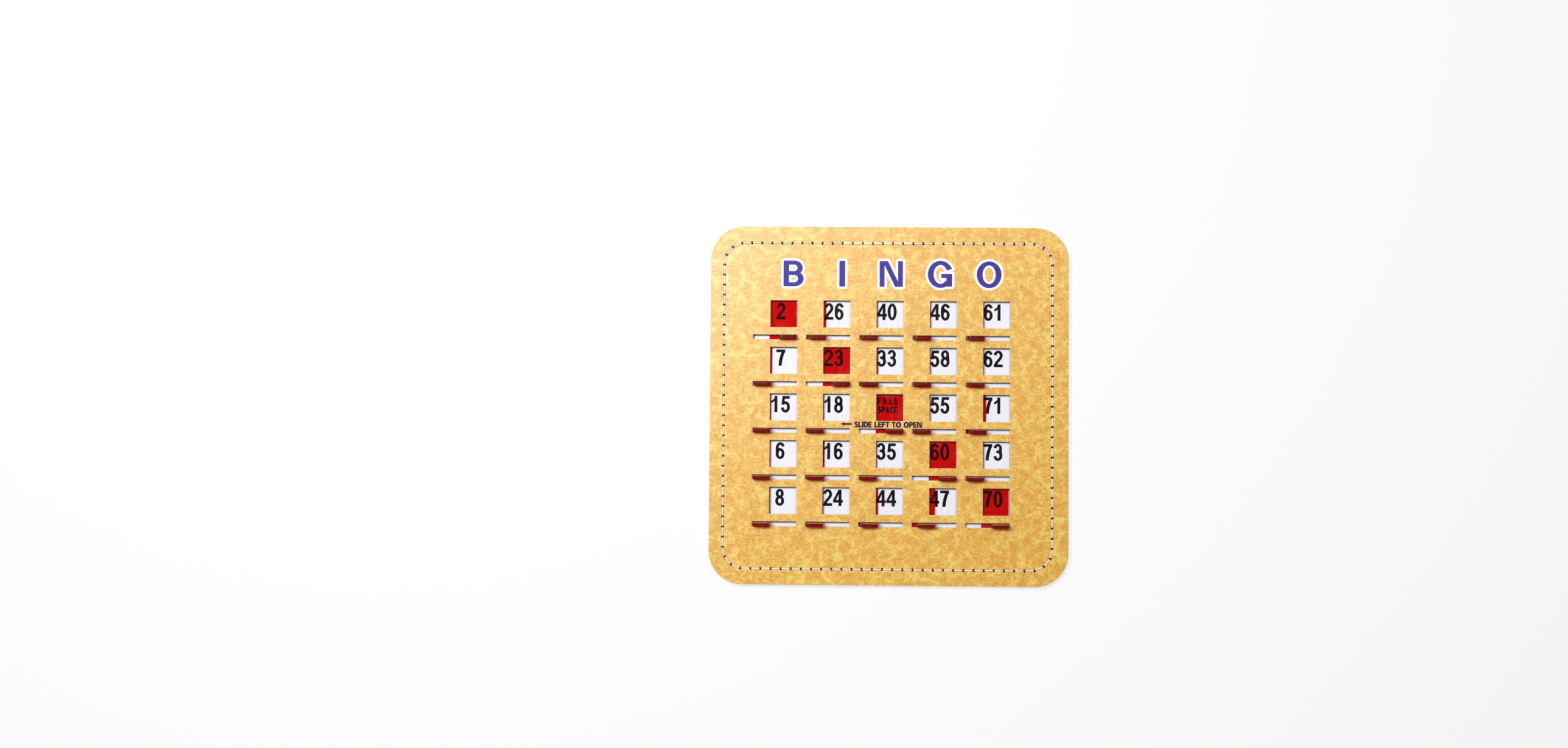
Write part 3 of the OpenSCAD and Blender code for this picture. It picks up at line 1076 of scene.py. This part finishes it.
class BINGO_OT_print(bpy.types.Operator):
    """Print the column letters, the numbers, the middle cell and the opening line"""

    bl_idname = "bingo.lettering"
    bl_label = "Print"

    def print_header(self, settings):
        height = settings.letter_h / MM
        letters, bands = [], []
        for letter, centre in zip(COLUMNS, LETTER_CENTRES):
            left = centre - glyph_width(letter) * height / 2
            [shapes] = line_shapes(letter, height, left, LETTER_MID_Y - height / 2)
            letters.append(shapes)
            bands.append(haloed(shapes, settings.halo_w / MM))
        low_z = FACE_Z - PRINT_DEPTH
        halo = print_piece("column_halo", bands, low_z, FACE_Z + HALO_RISE, many_arcs=True)
        white = face_print("halo_print", settings.halo[:], HALO_WORN)
        finish_piece(halo, white, "card")
        header = print_piece("column_letters", letters, low_z, FACE_Z + LETTER_RISE)
        blue = face_print("letter_print", settings.letter[:], LETTER_WORN)
        finish_piece(header, blue, "card")

    def print_words(self, settings):
        left, right = WORDS_ENDS
        words = line_shapes(WORDS, WORDS_H, left, WORDS_FOOT, WORDS_NARROW, right)
        words += line_shapes("<", ARROW_H, *ARROW_START)
        low_z = FACE_Z - PRINT_DEPTH
        line = print_piece("opening_line", words, low_z, FACE_Z + WORDS_RISE, settings.line_spread)
        dark = face_print("word_print", settings.words[:], WORDS_WORN, WORDS_SHINE)
        finish_piece(line, dark, "card")

    def print_numbers(self, settings):
        ink = number_ink(settings)
        height = settings.number_h / MM
        for row, texts in enumerate(NUMBERS):
            for column, text in enumerate(texts):
                left = FIRST_LEFT + column * COLUMN_PITCH
                top = FIRST_TOP - row * ROW_PITCH
                if text:
                    centre = left + WINDOW / 2 + NUMBER_SHIFT
                    foot = top - NUMBER_DROP - height
                    groups = number_shapes(text, height - INK_ROOM, centre, foot)
                    name = f"number_{text}"
                    spread = settings.spread
                else:
                    groups = []
                    for words, size, start, end, drop, narrow in FREE_LINES:
                        groups += line_shapes(words, size, left + start, top - drop, narrow, left + end)
                    name = "free_space"
                    spread = settings.line_spread
                low_z = SHEET_Z - PRINT_DEPTH
                number = print_piece(name, groups, low_z, SHEET_Z + NUMBER_RISE, spread)
                finish_piece(number, ink, "card")

    def execute(self, context):
        settings = context.scene.bingo_card.print
        self.print_header(settings)
        self.print_words(settings)
        self.print_numbers(settings)
        return {"FINISHED"}


# Stage
def add_lamp(name, place, size, share):
    """A square lamp aimed at the card; share 1 would show white as white by its light alone."""
    place = Vector(place)
    deselect()
    bpy.ops.object.light_add(type="AREA", location=place)
    lamp = bpy.context.object
    lamp.name = name
    lamp.rotation_mode = "QUATERNION"
    lamp.rotation_quaternion = (-place).to_track_quat("-Z", "Y")
    lamp.data.shape = "SQUARE"
    lamp.data.size = size
    lamp.data.energy = share * math.pi ** 2 * place.length ** 3 / place.z


class BINGO_OT_stage(bpy.types.Operator):
    """Set the floor, the lamps and the camera"""

    bl_idname = "bingo.stage"
    bl_label = "Stage"

    def execute(self, context):
        settings = context.scene.bingo_card.stage
        deselect()
        bpy.ops.mesh.primitive_plane_add(size=FLOOR_W, location=(0, 0, 0))
        floor = context.object
        floor.name = "floor"
        floor.data.transform(Matrix.Translation((0, 0, FLOOR_Z)))
        floor.data.materials.append(floor_white(settings))

        world = bpy.data.worlds.new("room")
        world.use_nodes = True
        background = world.node_tree.nodes["Background"]
        background.inputs["Color"].default_value = (1, 1, 1, 1)
        background.inputs["Strength"].default_value = settings.sky
        context.scene.world = world

        add_lamp("key_lamp", (-0.48, 0.25, 0.9), 0.23, settings.key)
        add_lamp("sheen_lamp", (-0.26, 0.43, 1.3), 0.36, settings.sheen)
        add_lamp("top_lamp", (0.22, 0.42, 0.8), 0.25, settings.top)

        deselect()
        bpy.ops.object.camera_add(location=CAMERA_PLACE)
        camera = context.object
        camera.name = "camera"
        camera.rotation_mode = "ZYX"
        camera.rotation_euler = Euler([math.radians(angle) for angle in CAMERA_TURN], "ZYX")
        camera.data.sensor_fit = "HORIZONTAL"
        camera.data.sensor_width = SENSOR_W
        camera.data.lens = SENSOR_W * FOCAL_PX / PHOTO_W_PX
        context.scene.camera = camera

        context.scene.view_settings.view_transform = "Standard"
        return {"FINISHED"}


OPERATORS = [
    BINGO_OT_papers, BINGO_OT_boards, BINGO_OT_shutters, BINGO_OT_seam, BINGO_OT_print, BINGO_OT_stage,
]


class BINGO_PT_card(bpy.types.Panel):
    """The steps of dressing the card"""

    bl_idname = "BINGO_PT_card"
    bl_label = "Bingo card"
    bl_space_type = "VIEW_3D"
    bl_region_type = "UI"
    bl_category = "Bingo card"

    def draw(self, context):
        card = context.scene.bingo_card
        for name, operator in zip(("paper", "board", "shutter", "seam", "print", "stage"), OPERATORS):
            box = self.layout.box()
            group = getattr(card, name)
            for prop in group.__annotations__:
                box.prop(group, prop)
            box.operator(operator.bl_idname)


CLASSES = [
    BINGO_PG_paper, BINGO_PG_board, BINGO_PG_shutter, BINGO_PG_seam, BINGO_PG_print, BINGO_PG_stage,
    BINGO_PG_card, *OPERATORS, BINGO_PT_card,
]


def register():
    for cls in CLASSES:
        bpy.utils.register_class(cls)
    bpy.types.Scene.bingo_card = bpy.props.PointerProperty(type=BINGO_PG_card)


def unregister():
    del bpy.types.Scene.bingo_card
    for cls in reversed(CLASSES):
        bpy.utils.unregister_class(cls)


def main():
    register()
    bpy.ops.bingo.papers()
    bpy.ops.bingo.boards()
    bpy.ops.bingo.shutters()
    bpy.ops.bingo.seam()
    bpy.ops.bingo.lettering()
    bpy.ops.bingo.stage()


if __name__ == "__main__":
    main()
